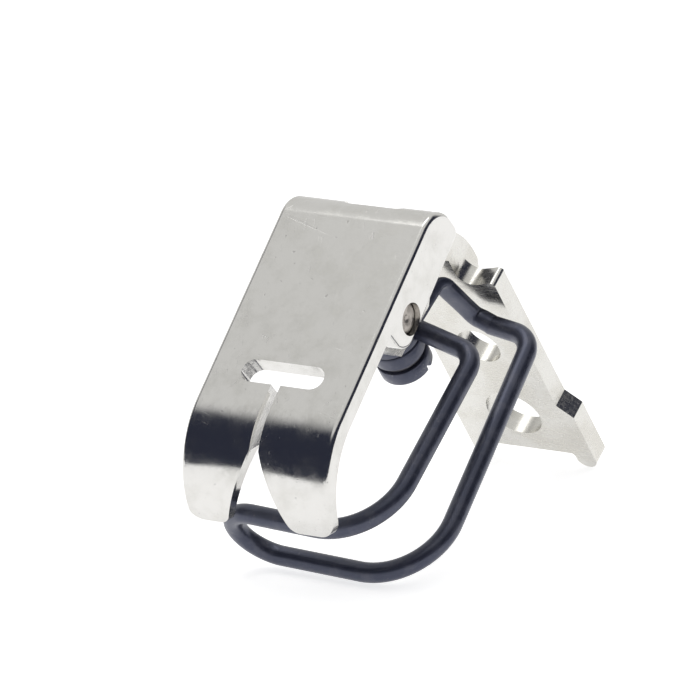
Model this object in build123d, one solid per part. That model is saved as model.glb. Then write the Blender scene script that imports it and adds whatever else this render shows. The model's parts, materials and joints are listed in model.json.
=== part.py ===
"""Hinged zig-zag presser foot with a wire finger guard, lying upside down as it rests on a table.

Every piece is drawn in the foot's own working directions and turned to that resting pose once, at export.
Working directions: X across the foot, Y towards the back, Z up to the presser bar, with the origin on the
hinge axis at mid width. The sole is drawn level in the same directions and then pitched about the hinge axis.
"""

import math
import os

from build123d import *

# Sole: a stamped sheet with curled toes and heel and two hinge lugs
sole_width = 15.0
sole_thickness = 1.76
axis_above_underside = 3.55
sole_pitch = 7.4  # degrees toe up, where the sole lies on its stop
toe_bend_start = 12.3  # in front of the hinge axis
toe_bend_radius = 8.5
toe_bend_angle = 76.0
toe_tip_thickness = 0.85
heel_bend_start = 7.1  # behind the hinge axis
heel_bend_radius = 3.0
heel_bend_angle = 66.0
heel_scallop_depth = 0.75
heel_scallop_half_width = 3.1
heel_scallop_offset = -0.7
underside_edge_radius = 0.45
lug_thickness = 1.6
lug_front = 2.73
lug_height_front = 5.25  # above the underside
lug_height_rear = 4.9
lug_front_radius = 1.5
lug_rear_radius = 0.9
needle_slot_length = 8.3
needle_slot_width = 2.26
needle_slot_ahead = 8.93
toe_slit_width = 0.94
toe_slit_offset = 0.2
toe_gap_half = 3.3  # half the gap between the toe tips
toe_flare_angle = 27.0  # on the toe bend, where the slit starts to widen
toe_sketch_angle = 50.0  # on the toe bend, where the toe outline is drawn
toe_inner_radius = 1.2
toe_outer_radius = 1.6

# Hinge
pin_radius = 1.45
pin_recess = 0.45
pin_clearance = 0.03
boss_radius = 2.5
boss_clearance = 0.15
stop_front = 4.2
stop_rear = 1.95
stop_gap = 0.03

# Shank: a flat plate, a neck behind it and an arm that carries the hinge boss
plate_front = 13.2
plate_thickness = 1.95
plate_half_width = 5.2
head_half_width = 6.5
shoulder_low = 10.9
shoulder_root = 12.0
waist_top = 27.8
head_bottom = 29.3
head_top = 34.7
ear_top = 36.4
ear_inner = 4.5
ear_radius = 0.98
neck_half_width = 1.5
neck_rear = 16.65
neck_bottom = 8.5
neck_fillet = 1.4
gooseneck_corner = 7.0  # height where the arm's underside would meet the neck's back
gooseneck_radius = 8.0
bar_hole_radius = 2.75
bar_hole_height = 29.8
locating_hole_radius = 2.1
locating_hole_height = 20.4
arm_half_width = 2.8
ledge_height = 7.45
ledge_front = 1.4
arm_taper_start = 7.2
arm_taper_end = 10.6
arm_low_rear = (8.0, 1.3)  # where the heel stops against the arm, toe down

# Clamp screw, guard eyes and spring
screw_y = 4.25
screw_head_radius = 2.45
screw_head_height = 1.6
screw_shaft_radius = 1.2
screw_hole_radius = 1.25
screw_hole_bottom = 2.9
screw_slot_width = 0.6
screw_slot_depth = 0.7
washer_thickness = 0.45
washer_radius = 2.15
eye_radius = 2.45
eye_hole_radius = 1.35
eye_thickness = 1.5
eye_gap = 0.02
spring_y = 6.9
spring_radius = 1.15
spring_wire_radius = 0.18
spring_turns = 6
spring_bore_radius = 1.45
spring_bore_top = 5.6

# Finger guard: one bent wire with both ends flattened under the screw
wire_radius = 0.9
lower_rail = 8.2
upper_rail = 14.8
guard_left = 9.25
guard_front_lower = 17.6
guard_front_upper = 16.9
guard_skew = 0.9  # how far back the right end of the crossbars lies
guard_left_front = 11.3  # the upper rail's front corner
guard_right = 7.0
guard_turn_radius = 3.25
guard_rear = (-8.95, 10.7)
strip_top = (-2.4, 14.8)
strip_bottom = (-0.5, 9.4)
strip_width = 2.3
strip_thickness = 0.95
strip_y = 11.9

underside = -axis_above_underside
sole_top = underside + sole_thickness
lug_rear = heel_bend_start + heel_bend_radius
eye_a_base = ledge_height
eye_b_base = eye_a_base + eye_thickness + eye_gap
washer_base = eye_b_base + eye_thickness
head_base = washer_base + washer_thickness


def prism_along_x(face, half_width):
    """A side view outline, given as (y, z), as a solid from -half_width to half_width."""
    return extrude(Plane.YZ * face, amount=half_width, both=True)


def cross_cylinder(radius, half_width, y=0.0, z=0.0):
    return Pos(0, y, z) * Rot(0, 90, 0) * Cylinder(radius, 2 * half_width)


def rounded(face, corners):
    """The face with each named corner rounded: corners are ((x, y), radius) pairs."""
    for point, radius in corners:
        nearest = face.vertices().sort_by_distance(Vector(*point))[0]
        face = fillet(nearest, radius)
    return face


def sheet_section():
    """Side view of the sole's sheet: flat, with a large curl up at the toe and a small one at the heel."""
    toe = (-toe_bend_start, underside + toe_bend_radius)
    heel = (heel_bend_start, underside + heel_bend_radius)
    toe_out = CenterArc(toe, toe_bend_radius, 270, -toe_bend_angle)
    tip = CenterArc(toe, toe_bend_radius - toe_tip_thickness, 270, -toe_bend_angle) @ 1
    toe_in = TangentArc((-toe_bend_start, sole_top), tip, tangent=(-1, 0))
    heel_out = CenterArc(heel, heel_bend_radius, 270, heel_bend_angle)
    heel_in = CenterArc(heel, heel_bend_radius - sole_thickness, 270, heel_bend_angle)
    return make_face(
        [
            toe_out,
            Line(toe_out @ 0, heel_out @ 0),
            heel_out,
            Line(heel_out @ 1, heel_in @ 1),
            heel_in,
            Line(heel_in @ 0, toe_in @ 0),
            toe_in,
            Line(toe_in @ 1, toe_out @ 1),
        ]
    )


def lug_section():
    """Side view of a hinge lug, with the heel's curl as its lower rear corner."""
    top_front = (-lug_front, underside + lug_height_front)
    top_rear = (lug_rear, underside + lug_height_rear)
    heel = CenterArc((heel_bend_start, underside + heel_bend_radius), heel_bend_radius, 270, 90)
    face = make_face(
        [
            Line((-lug_front, underside), top_front),
            Line(top_front, top_rear),
            Line(top_rear, heel @ 1),
            heel,
            Line(heel @ 0, (-lug_front, underside)),
        ]
    )
    return rounded(face, [(top_front, lug_front_radius), (top_rear, lug_rear_radius)])


def toe_cutter():
    """What is cut from the curled sheet to leave two toes with rounded tips and a widening gap."""
    angle = math.radians(toe_sketch_angle)
    outward = Vector(0, -math.sin(angle), -math.cos(angle))
    centre = Vector(0, -toe_bend_start, underside + toe_bend_radius)
    plane = Plane(origin=centre + outward * toe_bend_radius, x_dir=(1, 0, 0), z_dir=outward)
    start = toe_bend_radius * math.sin(math.radians(toe_flare_angle - toe_sketch_angle))
    end = toe_bend_radius * math.sin(math.radians(toe_bend_angle - toe_sketch_angle))
    side = sole_width / 2
    margin = 2.0
    depth = 3 * sole_thickness
    cutter = Pos(0, (start + end + margin) / 2) * Rectangle(sole_width + margin, end + margin - start)
    for sign in (-1, 1):
        slit_edge = toe_slit_offset + sign * toe_slit_width / 2
        gap_edge = toe_slit_offset + sign * toe_gap_half
        corners = [(slit_edge, start), (gap_edge, end), (sign * side, end), (sign * side, start)]
        toe = make_face(Polyline(*corners, close=True))
        cutter -= rounded(toe, [(corners[1], toe_inner_radius), (corners[2], toe_outer_radius)])
    return extrude(plane * cutter, amount=depth, both=True)


def underside_edges(solid):
    """The long outer edges along both sides of the underside, up the toe and round the heel."""
    bends = {toe_bend_radius, heel_bend_radius}
    side = sole_width / 2
    found = []
    for edge in solid.edges():
        if abs(abs(edge.center().X) - side) > 0.01:
            continue
        if edge.geom_type == GeomType.CIRCLE and any(abs(edge.radius - r) < 0.01 for r in bends):
            found.append(edge)
        elif edge.geom_type == GeomType.LINE and abs(edge.center().Z - underside) < 0.01:
            found.append(edge)
    return found


def sole_plate():
    body = prism_along_x(sheet_section(), sole_width / 2)
    lug = extrude(Plane.YZ * lug_section(), amount=lug_thickness)
    body += Pos(sole_width / 2 - lug_thickness, 0, 0) * lug
    body += Pos(-sole_width / 2, 0, 0) * lug
    body = fillet(underside_edges(body), underside_edge_radius)
    body -= cross_cylinder(pin_radius, sole_width)
    body -= cross_cylinder(boss_radius + boss_clearance, sole_width / 2 - lug_thickness)
    slot = SlotOverall(needle_slot_length, needle_slot_width)
    body -= Pos(0, -needle_slot_ahead, underside - 1) * extrude(slot, amount=2 * sole_thickness)
    slit_length = 3 * toe_bend_radius
    slit = Box(toe_slit_width, slit_length, 4 * toe_bend_radius)
    body -= Pos(toe_slit_offset, -needle_slot_ahead - slit_length / 2, 0) * slit
    body -= toe_cutter()
    heel_end = heel_bend_start + heel_bend_radius * math.sin(math.radians(heel_bend_angle))
    scallop = RectangleRounded(2 * heel_scallop_half_width, 4 * heel_scallop_depth, heel_scallop_depth)
    scallop = extrude(Plane.XY * scallop, amount=2 * sole_thickness, both=True)
    body -= Pos(heel_scallop_offset, heel_end + heel_scallop_depth, sole_top) * scallop
    return body


def hinge_pin():
    return cross_cylinder(pin_radius, sole_width / 2 - pin_recess)


def plate_outline():
    """Front view of the shank plate, drawn for one side and mirrored."""
    points = [
        (0, neck_bottom),
        (neck_half_width, neck_bottom),
        (neck_half_width, shoulder_root),
        (plate_half_width, shoulder_low),
        (plate_half_width, waist_top),
        (head_half_width, head_bottom),
        (head_half_width, ear_top),
        (ear_inner, ear_top),
        (ear_inner, head_top),
        (0, head_top),
    ]
    half = make_face(Polyline(*points, close=True))
    half = rounded(
        half,
        [
            (points[2], neck_fillet),
            (points[3], 0.4),
            (points[6], ear_radius),
            (points[7], ear_radius),
            (points[8], 0.4),
        ],
    )
    return half + mirror(half, Plane.YZ)


def arm_section():
    """Side view of the arm, from the hinge boss up under the ledge and back to the neck."""
    points = [
        (-boss_radius + 0.15, 0.8),
        (ledge_front, ledge_height),
        (plate_front - 0.9, ledge_height),
        (plate_front, neck_bottom),
        (plate_front, shoulder_root),
        (plate_front + plate_thickness, shoulder_root + 3.0),
        (neck_rear, shoulder_root),
        (neck_rear, gooseneck_corner),
        arm_low_rear,
        (boss_radius - 0.6, -1.6),
        (0, 0),
    ]
    face = make_face(Polyline(*points, close=True))
    return rounded(face, [(points[7], gooseneck_radius), (points[8], 0.8)])


def arm_plan():
    """Plan view of the arm: full width over the hinge and the screw, then tapering to the neck."""
    half = Polyline(
        (0, -boss_radius - 2),
        (arm_half_width, -boss_radius - 2),
        (arm_half_width, arm_taper_start),
        (neck_half_width, arm_taper_end),
        (neck_half_width, neck_rear + 1),
        (0, neck_rear + 1),
        close=True,
    )
    face = make_face(half)
    return face + mirror(face, Plane.YZ)


def pitched(piece):
    """A piece drawn with the sole level, turned about the hinge axis to the resting pitch."""
    return Rot(-sole_pitch, 0, 0) * piece


def shank():
    body = extrude(Plane.XZ * plate_outline(), amount=-plate_thickness)
    body = Pos(0, plate_front, 0) * body
    arm = prism_along_x(arm_section(), arm_half_width)
    arm &= Pos(0, 0, -boss_radius) * extrude(arm_plan(), amount=shoulder_root + 8)
    body += arm
    body += cross_cylinder(boss_radius, sole_width / 2 - lug_thickness - boss_clearance)
    from_low_front = (Align.CENTER, Align.MIN, Align.MIN)
    stop = Box(2 * arm_half_width, stop_front, axis_above_underside, align=from_low_front)
    stop = Pos(0, -stop_front, sole_top + stop_gap) * stop
    stop &= prism_along_x(stop_section(), arm_half_width)
    body += pitched(stop)
    for height, radius in ((bar_hole_height, bar_hole_radius), (locating_hole_height, locating_hole_radius)):
        body -= Pos(0, plate_front, height) * Rot(90, 0, 0) * Cylinder(radius, 4 * plate_thickness)
    body -= cross_cylinder(pin_radius + pin_clearance, sole_width)
    body -= upright_cylinder(screw_hole_radius, screw_y, screw_hole_bottom, ledge_height + 1)
    body -= upright_cylinder(spring_bore_radius, spring_y, -boss_radius, spring_bore_top)
    return body


def stop_section():
    """Side view of the nose in front of the boss that the sole comes to rest on, toe up."""
    low = sole_top + stop_gap
    points = [
        (-stop_front, low),
        (-stop_front, low + 0.9),
        (-stop_rear, 1.6),
        (0, 1.6),
        (0, 0),
        (-stop_rear, low),
    ]
    return make_face(Polyline(*points, close=True))


def upright_cylinder(radius, y, bottom, top):
    base = (Align.CENTER, Align.CENTER, Align.MIN)
    return Pos(0, y, bottom) * Cylinder(radius, top - bottom, align=base)


def eye(base):
    ring = upright_cylinder(eye_radius, screw_y, base, base + eye_thickness)
    return ring - upright_cylinder(eye_hole_radius, screw_y, base - 1, base + eye_thickness + 1)


def guard_wire():
    """The round wire, from beside the lower eye to the top of the flattened strip."""
    route = FilletPolyline(
        (-1.2, 5.55, lower_rail),
        (-guard_left, 3.2, lower_rail),
        (-guard_left, -guard_front_lower, lower_rail),
        (guard_right, guard_skew - guard_front_lower, lower_rail),
        (guard_right, guard_skew - guard_front_upper, upper_rail),
        (-guard_left_front, -guard_front_upper, upper_rail),
        (*guard_rear, upper_rail),
        (strip_top[0], strip_y, upper_rail),
        radius=[2.5, 6.0, guard_turn_radius, guard_turn_radius, 6.0, 2.7],
    )
    section = Plane(origin=route @ 0, z_dir=route % 0) * Circle(wire_radius)
    return sweep(section, path=route)


def guard_strip():
    """The flattened run down from the upper rail, and the tongue forward from it to the upper eye."""
    run = Vector(strip_bottom[0] - strip_top[0], strip_bottom[1] - strip_top[1])
    along = run.normalized()
    across = Vector(-along.Y, along.X) * (strip_width / 2)
    top = Vector(*strip_top) - along * 0.8
    low = eye_b_base
    low_x = strip_bottom[0]
    half = strip_width / 2
    corners = [top + across, top - across, Vector(low_x - half, low), Vector(low_x + half, low)]
    face = make_face(Polyline(*[(corner.X, corner.Y) for corner in corners], close=True))
    strip = Pos(0, strip_y - strip_thickness / 2, 0) * extrude(Plane.XZ * face, amount=-strip_thickness)
    back = strip_y + strip_thickness / 2
    tongue = make_face(
        Polyline(
            (low_x - half, back),
            (low_x + half, back),
            (half, screw_y + 2),
            (-half, screw_y + 2),
            close=True,
        )
    )
    return strip + Pos(0, 0, low) * extrude(tongue, amount=eye_thickness)


def finger_guard():
    body = guard_wire() + eye(eye_a_base) + eye(eye_b_base) + guard_strip()
    flat = Box(2 * arm_half_width + 1, 3 * eye_radius, 4, align=(Align.CENTER, Align.CENTER, Align.MAX))
    body -= Pos(0, screw_y, ledge_height) * flat
    return body - upright_cylinder(eye_hole_radius, screw_y, 0, head_base)


def guard_screw():
    top = head_base + screw_head_height
    body = upright_cylinder(screw_head_radius, screw_y, head_base, top)
    body += upright_cylinder(screw_shaft_radius, screw_y, screw_hole_bottom + 0.3, head_base)
    slot = Box(3 * screw_head_radius, screw_slot_width, 2 * screw_slot_depth)
    return body - Pos(0, screw_y, top) * slot


def lock_washer():
    ring = upright_cylinder(washer_radius, screw_y, washer_base, head_base)
    ring -= upright_cylinder(screw_shaft_radius + 0.05, screw_y, 0, head_base + 1)
    split = Box(0.35, 2 * washer_radius, 4 * washer_thickness, align=(Align.CENTER, Align.MIN, Align.CENTER))
    return ring - Pos(0, screw_y, head_base) * split


def sole_spring():
    """A coil spring in a blind bore of the arm, pushing the heel down."""
    heel_height = sole_top - math.tan(math.radians(sole_pitch)) * spring_y + 0.5
    low = heel_height + spring_wire_radius
    high = spring_bore_top - spring_wire_radius
    coil_radius = spring_radius - spring_wire_radius
    path = Helix((high - low) / spring_turns, high - low, coil_radius)
    section = Plane(origin=path @ 0, z_dir=path % 0) * Circle(spring_wire_radius)
    return Pos(0, spring_y, low) * sweep(section, path=path, is_frenet=True)


def resting_direction():
    """The foot's up direction on the table: down and back, with the upper rail and both ears touching."""
    rise = ear_top - upper_rail
    reach = plate_front + guard_front_upper
    tilt = math.acos(wire_radius / math.hypot(rise, reach)) - math.atan2(reach, rise)
    return Vector(0, math.sin(tilt), -math.cos(tilt))


pieces = {
    "shank": shank(),
    "sole_plate": pitched(sole_plate()),
    "hinge_pin": hinge_pin(),
    "sole_spring": sole_spring(),
    "finger_guard": finger_guard(),
    "guard_screw": guard_screw(),
    "lock_washer": lock_washer(),
}
turned = Plane(origin=(0, 0, 0), x_dir=(-1, 0, 0), z_dir=resting_direction()).location
pieces = {name: turned * piece for name, piece in pieces.items()}
boxes = [piece.bounding_box() for piece in pieces.values()]
low = [min(tuple(box.min)[axis] for box in boxes) for axis in range(3)]
high = [max(tuple(box.max)[axis] for box in boxes) for axis in range(3)]
to_origin = Pos(-(low[0] + high[0]) / 2, -(low[1] + high[1]) / 2, -low[2])
os.makedirs("parts", exist_ok=True)
for name, piece in pieces.items():
    export_step(to_origin * piece, f"parts/{name}.step")
print("hinge axis at", to_origin.position)
print("foot's up direction", resting_direction())
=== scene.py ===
import json
import math

import bmesh
import bpy
from mathutils import Matrix, Vector


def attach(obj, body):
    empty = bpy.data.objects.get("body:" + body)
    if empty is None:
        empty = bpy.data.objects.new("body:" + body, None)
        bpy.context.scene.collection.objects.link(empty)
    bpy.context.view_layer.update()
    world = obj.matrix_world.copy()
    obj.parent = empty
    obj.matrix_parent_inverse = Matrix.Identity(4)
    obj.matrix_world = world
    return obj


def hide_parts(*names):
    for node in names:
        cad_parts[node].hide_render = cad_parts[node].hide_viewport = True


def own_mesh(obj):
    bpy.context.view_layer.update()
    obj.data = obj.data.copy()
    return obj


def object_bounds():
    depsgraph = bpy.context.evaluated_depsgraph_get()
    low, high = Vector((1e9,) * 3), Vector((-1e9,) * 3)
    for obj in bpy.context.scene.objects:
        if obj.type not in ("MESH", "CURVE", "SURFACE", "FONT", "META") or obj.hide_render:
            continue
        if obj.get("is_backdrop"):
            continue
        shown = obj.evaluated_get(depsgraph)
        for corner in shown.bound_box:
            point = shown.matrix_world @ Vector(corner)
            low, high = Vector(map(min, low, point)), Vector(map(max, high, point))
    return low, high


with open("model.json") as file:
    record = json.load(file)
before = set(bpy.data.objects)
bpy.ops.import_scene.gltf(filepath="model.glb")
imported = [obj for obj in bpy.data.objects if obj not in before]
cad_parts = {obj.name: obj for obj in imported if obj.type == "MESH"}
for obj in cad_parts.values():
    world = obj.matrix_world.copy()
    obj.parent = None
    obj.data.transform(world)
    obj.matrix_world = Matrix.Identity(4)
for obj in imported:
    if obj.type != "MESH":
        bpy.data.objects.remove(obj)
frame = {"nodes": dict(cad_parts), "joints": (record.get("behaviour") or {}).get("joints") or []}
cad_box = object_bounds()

# The foot's own directions. Pieces are drawn in its millimetres, from the middle of the hinge pin:
# X across, Y towards the back, Z up the shank. One matrix turns them over onto the table.
MM = 0.001
JOINTS = {joint["name"]: joint for joint in frame["joints"]}
pin_centre = Vector(JOINTS["sole_pitch"]["pos_m"])
across = Vector(JOINTS["sole_pitch"]["axis"]).normalized()
upward = Vector(JOINTS["guard_swing"]["axis"]).normalized()
backward = upward.cross(across).normalized()
DIRECTIONS = Matrix((across, backward, upward))
FOOT = Matrix.Translation(pin_centre) @ DIRECTIONS.transposed().to_4x4() @ Matrix.Scale(MM, 4)

# Clamp screw stack, wire and hidden spring, in those millimetres
SCREW_Y = 4.25
EYE_A_BASE = 7.45
EYE_B_BASE = 8.97
EYE_THICKNESS = 1.5
EYE_RADIUS = 2.45
EYE_HOLE = 1.35
WASHER_BASE = 10.47
HEAD_BASE = 10.92
HEAD_TOP = 12.52
HEAD_RADIUS = 2.45
SHAFT_RADIUS = 1.2
SHAFT_LOW = 3.2
SLOT_WIDTH = 0.6
SLOT_DEPTH = 0.7
WIRE_RADIUS = 0.9
PIN_RADIUS = 1.45
PIN_HALF_LENGTH = 7.05
SPRING_Y = 6.9
SPRING_LOW = -2.0
SPRING_HIGH = 5.4
SPRING_COIL_RADIUS = 0.97
SPRING_WIRE = 0.18

# How CAD copies are joined up: millimetres and degrees
SAME_POINT = 0.0008
FLAT_ANGLE = 0.3
HARD_EDGE_ANGLE = 38
SHANK_EDGE_BREAK = 0.14
SOLE_EDGE_BREAK = 0.12

GUARD_ROUTE = [
    (-1.2, 5.55, 8.4),
    (-9.25, 3.2, 8.2),
    (-9.25, -17.6, 8.2),
    (7.0, -16.7, 8.2),
    (7.0, -16.0, 14.8),
    (-11.3, -16.9, 14.8),
    (-8.95, 10.7, 14.8),
    (-4.2, 11.57, 14.8),
]
GUARD_BENDS = [0.0, 2.5, 6.0, 3.25, 3.25, 6.0, 2.7, 0.0]
TAIL_ROUTE = [(-4.5, 11.515, 14.8), (-2.4, 11.9, 14.8), (-0.5, 11.9, 9.72), (0.0, 6.1, 9.72)]
TAIL_BENDS = [1.5, 0.95]


# Nodes


def live_socket(sockets, key):
    """The socket in use with that name, or at that place."""
    live = [socket for socket in sockets if socket.enabled]
    return live[key] if isinstance(key, int) else next(s for s in live if s.name == key)


class Link:
    """A socket that arithmetic can be written on."""

    def __init__(self, graph, socket):
        self.graph = graph
        self.socket = socket

    def calculate(self, operation, *terms):
        terms = dict(enumerate(terms))
        return self.graph.node("ShaderNodeMath", {"operation": operation}, terms)[0]

    def __add__(self, other):
        return self.calculate("ADD", self, other)

    def __radd__(self, other):
        return self.calculate("ADD", other, self)

    def __sub__(self, other):
        return self.calculate("SUBTRACT", self, other)

    def __rsub__(self, other):
        return self.calculate("SUBTRACT", other, self)

    def __mul__(self, other):
        return self.calculate("MULTIPLY", self, other)

    def __rmul__(self, other):
        return self.calculate("MULTIPLY", other, self)


class Made:
    """A node that has been made. Its outputs are read by name or place."""

    def __init__(self, graph, node):
        self.graph = graph
        self.made = node

    def __getitem__(self, key):
        return Link(self.graph, live_socket(self.made.outputs, key))


class Graph:
    """A node tree, with one method that makes its nodes."""

    def __init__(self, tree):
        self.tree = tree

    def node(self, kind, settings=None, values=None):
        node = self.tree.nodes.new(kind)
        for name, value in (settings or {}).items():
            setattr(node, name, value)
        for key, value in (values or {}).items():
            socket = live_socket(node.inputs, key)
            if isinstance(value, Link):
                self.tree.links.new(value.socket, socket)
            else:
                socket.default_value = value
        return Made(self, node)

    def between(self, value, low, high, bottom=0.0, top=1.0):
        """The value's way from low to high, as a smooth step from bottom to top."""
        return self.node(
            "ShaderNodeMapRange",
            {"interpolation_type": "SMOOTHSTEP"},
            {"Value": value, "From Min": low, "From Max": high, "To Min": bottom, "To Max": top},
        )[0]


class Finish(Graph):
    """A material whose patterns lie in the foot's own millimetres."""

    def __init__(self, name):
        self.material = bpy.data.materials.new(name)
        self.material.use_nodes = True
        super().__init__(self.material.node_tree)
        self.tree.nodes.clear()
        centre = -(DIRECTIONS @ pin_centre) / MM
        self.spot = self.node(
            "ShaderNodeMapping",
            {"vector_type": "POINT"},
            {
                "Vector": self.node("ShaderNodeTexCoord")["Object"],
                "Location": centre,
                "Rotation": DIRECTIONS.to_euler("XYZ"),
                "Scale": (1 / MM, 1 / MM, 1 / MM),
            },
        )["Vector"]

    def stretched(self, turn, factors):
        """The place on the surface, turned about the foot's height and drawn out one way."""
        turned_spot = self.node(
            "ShaderNodeVectorRotate",
            {"rotation_type": "Z_AXIS"},
            {"Vector": self.spot, "Angle": math.radians(turn)},
        )["Vector"]
        product = {0: turned_spot, 1: factors}
        return self.node("ShaderNodeVectorMath", {"operation": "MULTIPLY"}, product)[0]

    def cloud(self, size, detail=3.0, rough=0.5, turn=0.0, factors=(1.0, 1.0, 1.0)):
        """Even noise from 0 to 1 with features of about that many millimetres."""
        return self.node(
            "ShaderNodeTexNoise",
            {"noise_dimensions": "3D"},
            {
                "Vector": self.stretched(turn, factors),
                "Scale": 1 / size,
                "Detail": detail,
                "Roughness": rough,
            },
        )[0]

    def scratches(self, turn, size=0.35, keep=0.66):
        """Fine straight lines, few and far between, along one direction."""
        lines = self.cloud(size, 2.0, 0.6, turn, (1.0, 0.035, 1.0))
        return self.between(lines, keep, keep + 0.05)

    def blend(self, factor, first, second):
        colours = {"Factor": factor}
        for socket, colour in (("A", first), ("B", second)):
            colours[socket] = colour if isinstance(colour, Link) else (*colour, 1.0)
        return self.node("ShaderNodeMix", {"data_type": "RGBA"}, colours)[0]

    def relief(self, height, depth_mm, strength=1.0, under=None):
        values = {"Height": height, "Distance": depth_mm * MM, "Strength": strength}
        if under:
            values["Normal"] = under
        return self.node("ShaderNodeBump", None, values)["Normal"]

    def shade(self, **values):
        values = {name.replace("_", " "): value for name, value in values.items()}
        shader = self.node("ShaderNodeBsdfPrincipled", None, values)
        self.node("ShaderNodeOutputMaterial", None, {"Surface": shader[0]})
        return self.material


def satin_nickel():
    """Plated plate that was tumbled: soft streaks, faint warm blotches and hairline marks."""
    f = Finish("satin_nickel")
    blotch = f.between(f.cloud(4.0, 4.0, 0.6), 0.38, 0.66)
    streak = f.cloud(0.22, 4.0, 0.6, 90, (1.0, 0.06, 1.0))
    marks = f.scratches(28) + f.scratches(-54, 0.28)
    colour = f.blend(blotch * 0.55, (0.66, 0.65, 0.62), (0.56, 0.54, 0.49))
    colour = f.blend(marks * 0.25, colour, (0.78, 0.78, 0.78))
    dull = f.between(streak, 0.3, 0.75, 0.17, 0.30) + marks * 0.10 + blotch * 0.05
    relief = f.relief(streak + marks * -0.6, 0.004, 0.3, f.relief(f.cloud(2.4, 2.0), 0.03, 0.3))
    return f.shade(Base_Color=colour, Metallic=1.0, Roughness=dull, Normal=relief)


def polished_nickel():
    """The sole's polish: bright, with finger haze, rubbing marks across it and fine nicks."""
    f = Finish("polished_nickel")
    haze = f.between(f.cloud(2.6, 5.0, 0.62), 0.40, 0.70)
    grain = f.cloud(0.16, 4.0, 0.6, 12, (1.0, 0.05, 1.0))
    marks = f.scratches(18, 0.3, 0.68) + f.scratches(-38, 0.24, 0.69) + f.scratches(75, 0.3, 0.70)
    nick = f.between(f.cloud(0.5, 2.0, 0.5), 0.71, 0.76)
    colour = f.blend(haze * 0.6, (0.68, 0.67, 0.65), (0.58, 0.57, 0.54))
    colour = f.blend(nick * 0.5, colour, (0.40, 0.39, 0.38))
    dull = 0.10 + haze * 0.10 + f.between(grain, 0.35, 0.75, 0.0, 0.06) + marks * 0.12
    wave = f.relief(f.cloud(3.2, 2.0), 0.05, 0.35)
    relief = f.relief(grain + marks * -0.8 + nick * -1.2, 0.004, 0.5, wave)
    return f.shade(Base_Color=colour, Metallic=1.0, Roughness=dull, Normal=relief)


def black_oxide(name, worn):
    """Chemical blacking over steel: blue-black, finely grained, rubbed a little bare."""
    f = Finish(name)
    patch = f.between(f.cloud(1.6, 4.0, 0.6), 0.42, 0.70)
    grain = f.cloud(0.10, 3.0, 0.6)
    rubbed = f.between(f.cloud(0.7, 5.0, 0.7), 0.60, 0.72) * worn
    colour = f.blend(patch, (0.060, 0.066, 0.100), (0.090, 0.095, 0.130))
    colour = f.blend(rubbed, colour, (0.20, 0.20, 0.22))
    dull = 0.36 + patch * 0.10 + f.between(grain, 0.3, 0.7, 0.0, 0.08)
    relief = f.relief(grain, 0.006, 0.6, f.relief(f.cloud(0.9, 2.0), 0.02, 0.3))
    coat = 0.25 + patch * 0.1
    return f.shade(
        Base_Color=colour, Metallic=0.75, Roughness=dull, Coat_Weight=coat, Normal=relief
    )


def turned_steel(name, colour, rough):
    """Turned or drawn steel, lightly oiled, with rings left by the tool."""
    f = Finish(name)
    ring = f.cloud(0.12, 3.0, 0.6, 90, (0.15, 1.0, 1.0))
    stain = f.between(f.cloud(0.8, 4.0, 0.6), 0.42, 0.68)
    darker = tuple(0.6 * part for part in colour)
    tint = f.blend(stain * 0.7, colour, darker)
    dull = rough + stain * 0.12 + f.between(ring, 0.3, 0.7, 0.0, 0.1)
    return f.shade(Base_Color=tint, Metallic=1.0, Roughness=dull, Normal=f.relief(ring, 0.008, 0.6))


NICKEL = satin_nickel()
POLISH = polished_nickel()
BLUED_WIRE = black_oxide("blued_wire_finish", 0.35)
BLUED_SCREW = black_oxide("blued_screw_finish", 0.8)
PIN_STEEL = turned_steel("turned_pin_steel", (0.40, 0.37, 0.34), 0.28)
SPRING_STEEL = turned_steel("oiled_spring_steel", (0.16, 0.16, 0.18), 0.32)


# Shapes


def to_mesh(shape, name):
    mesh = bpy.data.meshes.new(name)
    shape.to_mesh(mesh)
    shape.free()
    return mesh


def place(mesh, name, body, slot, finish, stands_for):
    """A finished piece in the row frame, riding on its body."""
    mesh.transform(FOOT)
    mesh.materials.clear()
    mesh.materials.append(finish)
    piece = bpy.data.objects.new(name, mesh)
    bpy.context.scene.collection.objects.link(piece)
    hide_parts(stands_for)
    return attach(piece, body)


def evaluated(holder):
    """The mesh that the holder's modifiers give. The modifiers and the holder are then removed."""
    result = holder.evaluated_get(bpy.context.evaluated_depsgraph_get())
    mesh = bpy.data.meshes.new_from_object(result)
    holder.modifiers.clear()
    bpy.data.objects.remove(holder)
    return mesh


def holder_for(mesh):
    holder = bpy.data.objects.new("holder", mesh)
    bpy.context.scene.collection.objects.link(holder)
    return holder


def softened(mesh, crease=32.0):
    mesh.shade_smooth()
    mesh.set_sharp_from_angle(angle=math.radians(crease))
    return mesh


def level_flats(mesh):
    """The mesh with its flats shaded flat right up to their rounded edges."""
    holder = holder_for(mesh)
    level = holder.modifiers.new("level flats", "WEIGHTED_NORMAL")
    level.mode = "FACE_AREA"
    level.weight = 100
    level.keep_sharp = True
    return evaluated(holder)


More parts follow.
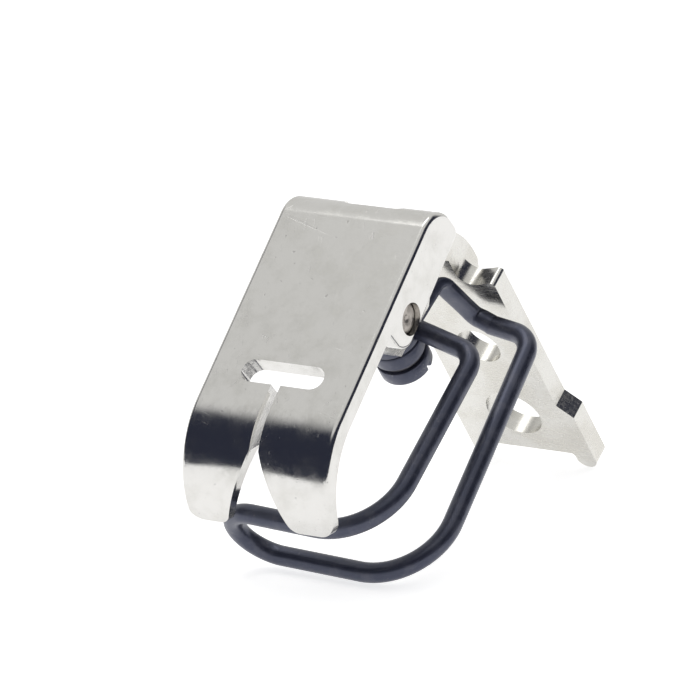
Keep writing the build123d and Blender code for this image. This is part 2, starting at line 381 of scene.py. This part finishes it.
def cad_copy(node, edge_break):
    """A copy of a CAD piece with its flats joined up.

    The bevel clamps overlaps, and on these outlines that leaves its edge breaks close to nothing.
    """
    shape = bmesh.new()
    shape.from_mesh(frame["nodes"][node].data)
    shape.transform(FOOT.inverted())
    bmesh.ops.remove_doubles(shape, verts=shape.verts, dist=SAME_POINT)
    flat = math.radians(FLAT_ANGLE)
    bmesh.ops.dissolve_limit(shape, angle_limit=flat, verts=shape.verts, edges=shape.edges)
    holder = holder_for(to_mesh(shape, node))
    bevel = holder.modifiers.new("edge break", "BEVEL")
    bevel.width = edge_break
    bevel.segments = 2
    bevel.limit_method = "ANGLE"
    bevel.angle_limit = math.radians(HARD_EDGE_ANGLE)
    bevel.use_clamp_overlap = True
    bevel.miter_outer = "MITER_ARC"
    return level_flats(softened(evaluated(holder)))


def route_points(corners, bends, step=0.3, arc_steps=10):
    """A route with rounded corners as points that are never further apart than step."""
    corners = [Vector(corner) for corner in corners]
    rough = [corners[0]]
    for before, corner, after, radius in zip(corners, corners[1:], corners[2:], bends):
        to_before, to_after = (before - corner).normalized(), (after - corner).normalized()
        half = to_before.angle(to_after) / 2
        reach = radius / math.tan(half)
        centre = corner + (to_before + to_after).normalized() * (radius / math.sin(half))
        start, end = corner + to_before * reach - centre, corner + to_after * reach - centre
        rough += [centre + start.slerp(end, i / arc_steps) for i in range(arc_steps + 1)]
    rough.append(corners[-1])
    fine = [rough[0]]
    for a, b in zip(rough, rough[1:]):
        parts = max(1, math.ceil((b - a).length / step))
        fine += [a.lerp(b, (i + 1) / parts) for i in range(parts)]
    return fine


def swept(points, sizes, thin, anchor, sides=32):
    """A closed bar along points.

    sizes gives (half width, half thickness, squareness) at a share of the way.
    thin is the direction of the thickness at the point numbered anchor.
    """
    last = len(points) - 1
    tangents = [(points[min(i + 1, last)] - points[max(i - 1, 0)]) for i in range(last + 1)]
    tangents = [tangent.normalized() for tangent in tangents]
    normals = [None] * len(points)
    normals[anchor] = (thin - tangents[anchor] * thin.dot(tangents[anchor])).normalized()
    for i in range(anchor + 1, len(points)):
        normals[i] = tangents[i - 1].rotation_difference(tangents[i]) @ normals[i - 1]
    for i in range(anchor - 1, -1, -1):
        normals[i] = tangents[i + 1].rotation_difference(tangents[i]) @ normals[i + 1]
    shape = bmesh.new()
    rings = []
    for i, point in enumerate(points):
        wide, thick, square = sizes(i / (len(points) - 1))
        side = tangents[i].cross(normals[i])
        ring = []
        for j in range(sides):
            angle = 2 * math.pi * j / sides
            c, s = math.cos(angle), math.sin(angle)
            c = math.copysign(abs(c) ** (2 / square), c) * wide
            s = math.copysign(abs(s) ** (2 / square), s) * thick
            ring.append(shape.verts.new(point + side * c + normals[i] * s))
        rings.append(ring)
    for ring, following in zip(rings, rings[1:]):
        for j in range(sides):
            k = (j + 1) % sides
            shape.faces.new((ring[j], ring[k], following[k], following[j]))
    shape.faces.new(rings[0][::-1])
    shape.faces.new(rings[-1])
    bmesh.ops.recalc_face_normals(shape, faces=shape.faces)
    return shape


def turned(profile, steps=72):
    """A shape turned about Z from (radius, height) points.

    A profile that starts away from the axis closes on itself, as a ring.
    """
    shape = bmesh.new()
    ring = bool(profile[0][0])
    loops = []
    for radius, height in profile:
        if radius == 0:
            loops.append([shape.verts.new((0, 0, height))] * steps)
            continue
        loops.append([])
        for i in range(steps):
            angle = 2 * math.pi * i / steps
            x, y = radius * math.cos(angle), radius * math.sin(angle)
            loops[-1].append(shape.verts.new((x, y, height)))
    if ring:
        loops.append(loops[0])
    for lower, upper in zip(loops, loops[1:]):
        for i in range(steps):
            k = (i + 1) % steps
            corners = list(dict.fromkeys((lower[i], lower[k], upper[k], upper[i])))
            shape.faces.new(corners)
    bmesh.ops.recalc_face_normals(shape, faces=shape.faces)
    return shape


def rounded_ring(inner, outer, base, height, edge=0.22, steps=5):
    """The section of a ring with rounded edges, as (radius, height) points."""
    points = []
    top = base + height
    for x, y, start in ((outer, base, 270), (outer, top, 0), (inner, top, 90), (inner, base, 180)):
        cx = x - edge if x == outer else x + edge
        cy = y + edge if y == base else y - edge
        for i in range(steps + 1):
            angle = math.radians(start + 90 * i / steps)
            points.append((cx + edge * math.cos(angle), cy + edge * math.sin(angle)))
    return points


class Plan(Graph):
    """Geometry Nodes that grow a piece from named sizes."""

    def __init__(self, name, sizes):
        tree = bpy.data.node_groups.new(name, "GeometryNodeTree")
        tree.interface.new_socket("Geometry", in_out="INPUT", socket_type="NodeSocketGeometry")
        for size, kind in sizes.items():
            tree.interface.new_socket(size, in_out="INPUT", socket_type=kind)
        tree.interface.new_socket("Finish", in_out="INPUT", socket_type="NodeSocketMaterial")
        tree.interface.new_socket("Geometry", in_out="OUTPUT", socket_type="NodeSocketGeometry")
        super().__init__(tree)
        self.given = self.node("NodeGroupInput")

    def drawn_along(self, curve, radius):
        """A round bar along a curve, capped, as the tree's result."""
        circle = {"Resolution": 28, "Radius": radius}
        section = self.node("GeometryNodeCurvePrimitiveCircle", None, circle)[0]
        drawn = {"Curve": curve, "Profile Curve": section, "Fill Caps": True}
        bar = self.node("GeometryNodeCurveToMesh", None, drawn)[0]
        smooth = self.node("GeometryNodeSetShadeSmooth", None, {0: bar})[0]
        real = self.node("GeometryNodeRealizeInstances", None, {0: smooth})[0]
        paint = {"Geometry": real, "Material": self.given["Finish"]}
        painted = self.node("GeometryNodeSetMaterial", None, paint)
        self.node("NodeGroupOutput", None, {0: painted[0]})

    def grow(self, base, values):
        holder = holder_for(base)
        modifier = holder.modifiers.new("grow", "NODES")
        modifier.node_group = self.tree
        for item in self.tree.interface.items_tree:
            if item.in_out == "INPUT" and item.name in values:
                modifier[item.identifier] = values[item.name]
        return evaluated(holder)


def wire_plan():
    plan = Plan("bent_wire", {"Wire Radius": "NodeSocketFloat", "Arc Points": "NodeSocketInt"})
    bend = plan.node("GeometryNodeInputNamedAttribute", {"data_type": "FLOAT"}, {"Name": "bend"})[0]
    route = plan.node("GeometryNodeMeshToCurve", None, {0: plan.given["Geometry"]})[0]
    rounded = plan.node(
        "GeometryNodeFilletCurve",
        {"mode": "POLY"},
        {"Curve": route, "Count": plan.given["Arc Points"], "Radius": bend},
    )[0]
    plan.drawn_along(rounded, plan.given["Wire Radius"])
    return plan


def spring_plan():
    sizes = ("Coil Radius", "Wire Radius", "Length", "Turns")
    plan = Plan("sole_spring_coil", {size: "NodeSocketFloat" for size in sizes})
    coil = plan.node(
        "GeometryNodeCurveSpiral",
        None,
        {
            "Resolution": 40,
            "Rotations": plan.given["Turns"],
            "Start Radius": plan.given["Coil Radius"],
            "End Radius": plan.given["Coil Radius"],
            "Height": plan.given["Length"],
        },
    )[0]
    plan.drawn_along(coil, plan.given["Wire Radius"])
    return plan


def guard_wire():
    base = bpy.data.meshes.new("guard_route")
    base.from_pydata(GUARD_ROUTE, [(i, i + 1) for i in range(len(GUARD_ROUTE) - 1)], [])
    base.attributes.new("bend", "FLOAT", "POINT").data.foreach_set("value", GUARD_BENDS)
    sizes = {"Wire Radius": WIRE_RADIUS, "Arc Points": 22, "Finish": BLUED_WIRE}
    return wire_plan().grow(base, sizes)


def guard_tail():
    """The wire's hammered end: round, then a flat strip, then a tongue to its eye."""
    stages = [
        (0.00, (0.895, 0.895, 2.0)),
        (0.13, (0.90, 0.88, 2.0)),
        (0.30, (1.12, 0.50, 3.2)),
        (0.52, (1.15, 0.475, 4.0)),
        (0.68, (1.15, 0.60, 4.0)),
        (1.00, (1.10, 0.72, 4.0)),
    ]

    def sizes(share):
        for (a, first), (b, second) in zip(stages, stages[1:]):
            if share <= b:
                t = (share - a) / (b - a)
                t = t * t * (3 - 2 * t)
                return [p + (q - p) * t for p, q in zip(first, second)]
        return stages[-1][1]

    points = route_points(TAIL_ROUTE, TAIL_BENDS, step=0.18, arc_steps=14)
    strip = min(range(len(points)), key=lambda i: abs(points[i].z - 12.0))
    return swept(points, sizes, Vector((0, 1, 0)), strip, 40)


def finger_guard():
    """The whole guard as one mesh: wire, tail and the two eyes on the clamp screw."""
    shape = guard_tail()
    shape.from_mesh(guard_wire())
    for base in (EYE_A_BASE, EYE_B_BASE):
        eye = turned(rounded_ring(EYE_HOLE, EYE_RADIUS, base, EYE_THICKNESS), 64)
        eye.transform(Matrix.Translation((0, SCREW_Y, 0)))
        shape.from_mesh(to_mesh(eye, "eye"))
    return softened(to_mesh(shape, "finger_guard"), 40)


def guard_screw():
    """The slotted clamp screw, with a chamfered head and a thread run-out."""
    profile = [(0, SHAFT_LOW), (0.85, SHAFT_LOW), (SHAFT_RADIUS - 0.02, SHAFT_LOW + 0.3)]
    pitch, depth = 0.5, 0.12
    height = SHAFT_LOW + 0.4
    while height + pitch < EYE_A_BASE:
        profile += [(SHAFT_RADIUS, height), (SHAFT_RADIUS - depth, height + pitch / 2)]
        height += pitch
    profile += [(SHAFT_RADIUS, EYE_A_BASE), (SHAFT_RADIUS, HEAD_BASE)]
    profile += [(HEAD_RADIUS - 0.18, HEAD_BASE), (HEAD_RADIUS - 0.05, HEAD_BASE + 0.05)]
    profile += [(HEAD_RADIUS, HEAD_BASE + 0.18), (HEAD_RADIUS, HEAD_TOP - 0.30)]
    profile += [(HEAD_RADIUS - 0.06, HEAD_TOP - 0.17), (HEAD_RADIUS - 0.20, HEAD_TOP - 0.05)]
    profile += [(HEAD_RADIUS - 0.40, HEAD_TOP), (0, HEAD_TOP)]
    screw = turned(profile, 96)
    screw.transform(Matrix.Translation((0, SCREW_Y, 0)))
    holder = holder_for(to_mesh(screw, "guard_screw"))
    cutter = bmesh.new()
    size = Matrix.Diagonal((3 * HEAD_RADIUS, SLOT_WIDTH, 2 * SLOT_DEPTH, 1))
    bmesh.ops.create_cube(cutter, size=1, matrix=Matrix.Translation((0, SCREW_Y, HEAD_TOP)) @ size)
    tool = holder_for(to_mesh(cutter, "slot_cutter"))
    cut = holder.modifiers.new("slot", "BOOLEAN")
    cut.operation = "DIFFERENCE"
    cut.solver = "EXACT"
    cut.object = tool
    edges = holder.modifiers.new("slot edges", "BEVEL")
    edges.width = 0.05
    edges.segments = 2
    edges.limit_method = "ANGLE"
    edges.angle_limit = math.radians(50)
    mesh = evaluated(holder)
    bpy.data.objects.remove(tool)
    return softened(mesh, 30)


def lock_washer():
    """A split washer, lying flat."""
    middle = (HEAD_BASE + WASHER_BASE) / 2
    radius, gap = 1.70, math.radians(9)
    points = []
    for i in range(97):
        angle = math.pi / 2 + gap + (2 * math.pi - 2 * gap) * i / 96
        x, y = radius * math.cos(angle), SCREW_Y + radius * math.sin(angle)
        points.append(Vector((x, y, middle)))
    shape = swept(points, lambda share: (0.44, 0.215, 7.0), Vector((0, 0, 1)), 0, 32)
    return softened(to_mesh(shape, "lock_washer"), 35)


def hinge_pin():
    """The pressed pin, chamfered, with a shallow centre mark in each end."""
    end = PIN_HALF_LENGTH
    half = [(PIN_RADIUS, end - 0.30), (PIN_RADIUS - 0.07, end - 0.14)]
    half += [(PIN_RADIUS - 0.22, end - 0.03)]
    half += [(PIN_RADIUS - 0.40, end), (0.42, end), (0.30, end - 0.06), (0, end - 0.22)]
    profile = [(radius, -height) for radius, height in reversed(half)] + half
    pin = turned(profile, 72)
    pin.transform(Matrix.Rotation(math.pi / 2, 4, "Y"))
    return softened(to_mesh(pin, "hinge_pin"), 30)


def sole_spring():
    sizes = {
        "Coil Radius": SPRING_COIL_RADIUS,
        "Wire Radius": SPRING_WIRE,
        "Length": SPRING_HIGH - SPRING_LOW,
        "Turns": 6.0,
        "Finish": SPRING_STEEL,
    }
    mesh = spring_plan().grow(bpy.data.meshes.new("spring_base"), sizes)
    mesh.transform(Matrix.Translation((0, SPRING_Y, SPRING_LOW)))
    return mesh


PIECES = [
    # mesh, name, body, material slot, finish, CAD node
    (cad_copy("shank", SHANK_EDGE_BREAK), "shank_body", "shank", "nickel_shank", NICKEL, "shank"),
    (
        cad_copy("sole_plate", SOLE_EDGE_BREAK),
        "sole_with_toes",
        "sole",
        "polished_sole",
        POLISH,
        "sole_plate",
    ),
    (hinge_pin(), "pressed_hinge_pin", "sole", "steel_pin", PIN_STEEL, "hinge_pin"),
    (finger_guard(), "wire_finger_guard", "guard", "blued_wire", BLUED_WIRE, "finger_guard"),
    (guard_screw(), "slotted_clamp_screw", "shank", "blued_screw", BLUED_SCREW, "guard_screw"),
    (lock_washer(), "split_lock_washer", "shank", "spring_steel", SPRING_STEEL, "lock_washer"),
    (sole_spring(), "sole_spring_coil", "shank", "spring_steel", SPRING_STEEL, "sole_spring"),
]
placed = {row[1]: place(*row) for row in PIECES}
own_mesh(placed["sole_spring_coil"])


# Table, light and camera


def table():
    shape = bmesh.new()
    bmesh.ops.create_grid(shape, x_segments=2, y_segments=2, size=4.0)
    paint = Finish("white_table")
    tone = paint.between(paint.cloud(60.0, 2.0), 0.3, 0.7, 0.80, 0.84)
    colour = paint.blend(tone, (0.0, 0.0, 0.0), (1.0, 1.0, 1.0))
    glow = (1.0, 1.0, 1.0, 1.0)
    paint.shade(Base_Color=colour, Roughness=0.9, Emission_Color=glow, Emission_Strength=0.72)
    mesh = to_mesh(shape, "table")
    mesh.materials.append(paint.material)
    floor = bpy.data.objects.new("table", mesh)
    bpy.context.scene.collection.objects.link(floor)
    floor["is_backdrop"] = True


def studio_light():
    """Bright softly overhead and behind, and a dark room on the other sides of the table."""
    world = bpy.data.worlds.new("studio")
    bpy.context.scene.world = world
    world.use_nodes = True
    graph = Graph(world.node_tree)
    world.node_tree.nodes.clear()
    direction = graph.node("ShaderNodeTexCoord")["Generated"]
    height = graph.node("ShaderNodeSeparateXYZ", None, {0: direction})["Z"]
    overhead = graph.between(height, 0.68, 0.80)
    backward_share = graph.node(
        "ShaderNodeVectorMath", {"operation": "DOT_PRODUCT"}, {0: direction, 1: (-0.55, 0.83, 0.0)}
    )["Value"]
    wall = graph.between(backward_share, 0.30, 0.60)
    lit = overhead.calculate("MAXIMUM", overhead, wall)
    room, sky = (0.030, 0.034, 0.055, 1.0), (0.80, 0.80, 0.79, 1.0)
    mixed = {"Factor": lit, "A": room, "B": sky}
    colour = graph.node("ShaderNodeMix", {"data_type": "RGBA"}, mixed)[0]
    shine = graph.node("ShaderNodeBackground", None, {"Color": colour, "Strength": 1.0})[0]
    graph.node("ShaderNodeOutputWorld", None, {"Surface": shine})
    lamp = bpy.data.lights.new("overhead_softbox", "AREA")
    lamp.shape = "RECTANGLE"
    lamp.size, lamp.size_y = 0.35, 0.25
    lamp.energy = 0.5
    box = bpy.data.objects.new("overhead_softbox", lamp)
    box.location = (-0.12, 0.05, 0.55)
    box.rotation_euler = (Vector((0, 0, 0.012)) - box.location).to_track_quat("-Z", "Y").to_euler()
    bpy.context.scene.collection.objects.link(box)


def camera():
    right = Vector((0.8405, 0.5394, -0.0508))
    top = Vector((-0.1109, 0.2636, 0.9581))
    away = right.cross(top).normalized()
    right = top.cross(away).normalized()
    aim = pin_centre + (right * 1.043 - top * 3.463) * MM
    data = bpy.data.cameras.new("camera")
    data.sensor_width = 36.0
    distance, view_width = 0.6, 0.0604
    data.lens = 36.0 * distance / view_width
    eye = bpy.data.objects.new("camera", data)
    place_at = Matrix((right, top, away)).transposed().to_4x4()
    place_at.translation = aim + away * distance
    eye.matrix_world = place_at
    bpy.context.scene.collection.objects.link(eye)
    bpy.context.scene.camera = eye


table()
studio_light()
camera()
bpy.context.scene.view_settings.view_transform = "Standard"

boxes = {"cad": cad_box, "visual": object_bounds()}
boxes = {
    name: [[float(part) for part in corner] for corner in box] for name, box in boxes.items()
}
